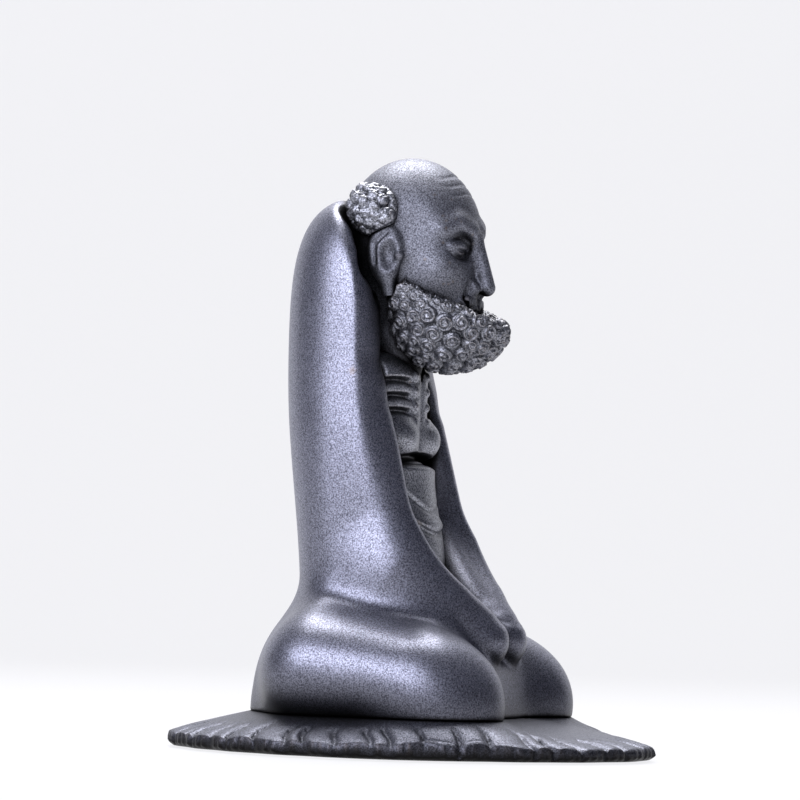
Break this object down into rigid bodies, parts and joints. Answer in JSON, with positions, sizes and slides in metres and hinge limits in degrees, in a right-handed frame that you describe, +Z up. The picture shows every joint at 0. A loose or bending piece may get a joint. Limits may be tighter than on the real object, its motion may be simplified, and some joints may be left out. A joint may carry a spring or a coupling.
{
  "type": "seated monk ornament",
  "caption": "Cast-iron table ornament: a bearded seated monk in a hooded robe, open in front over a bare torso, on a leaf-shaped mat.",
  "frame": {"origin": "on the table, under the middle of the mat, at the felt's lower face", "axes": "+Z up, the figure faces -Y, its left hand is at +X"},
  "size_m": [0.09, 0.1006, 0.1209],
  "materials": {
    "iron": "blackened and rubbed, satin with a fine cast grain",
    "steel": "plain",
    "felt": "pressed wool felt"
  },
  "bodies": {
    "root": {"felt_pad": "felt", "mat": "iron", "robe": "iron", "torso": "iron", "head": "iron", "beard": "iron", "hair_tuft_right": "iron", "hair_tuft_left": "iron", "tie_rod": "steel", "tie_nut": "steel", "tie_washer": "steel", "robe_screw_right": "steel", "robe_screw_left": "steel"}
  },
  "joints": []
}
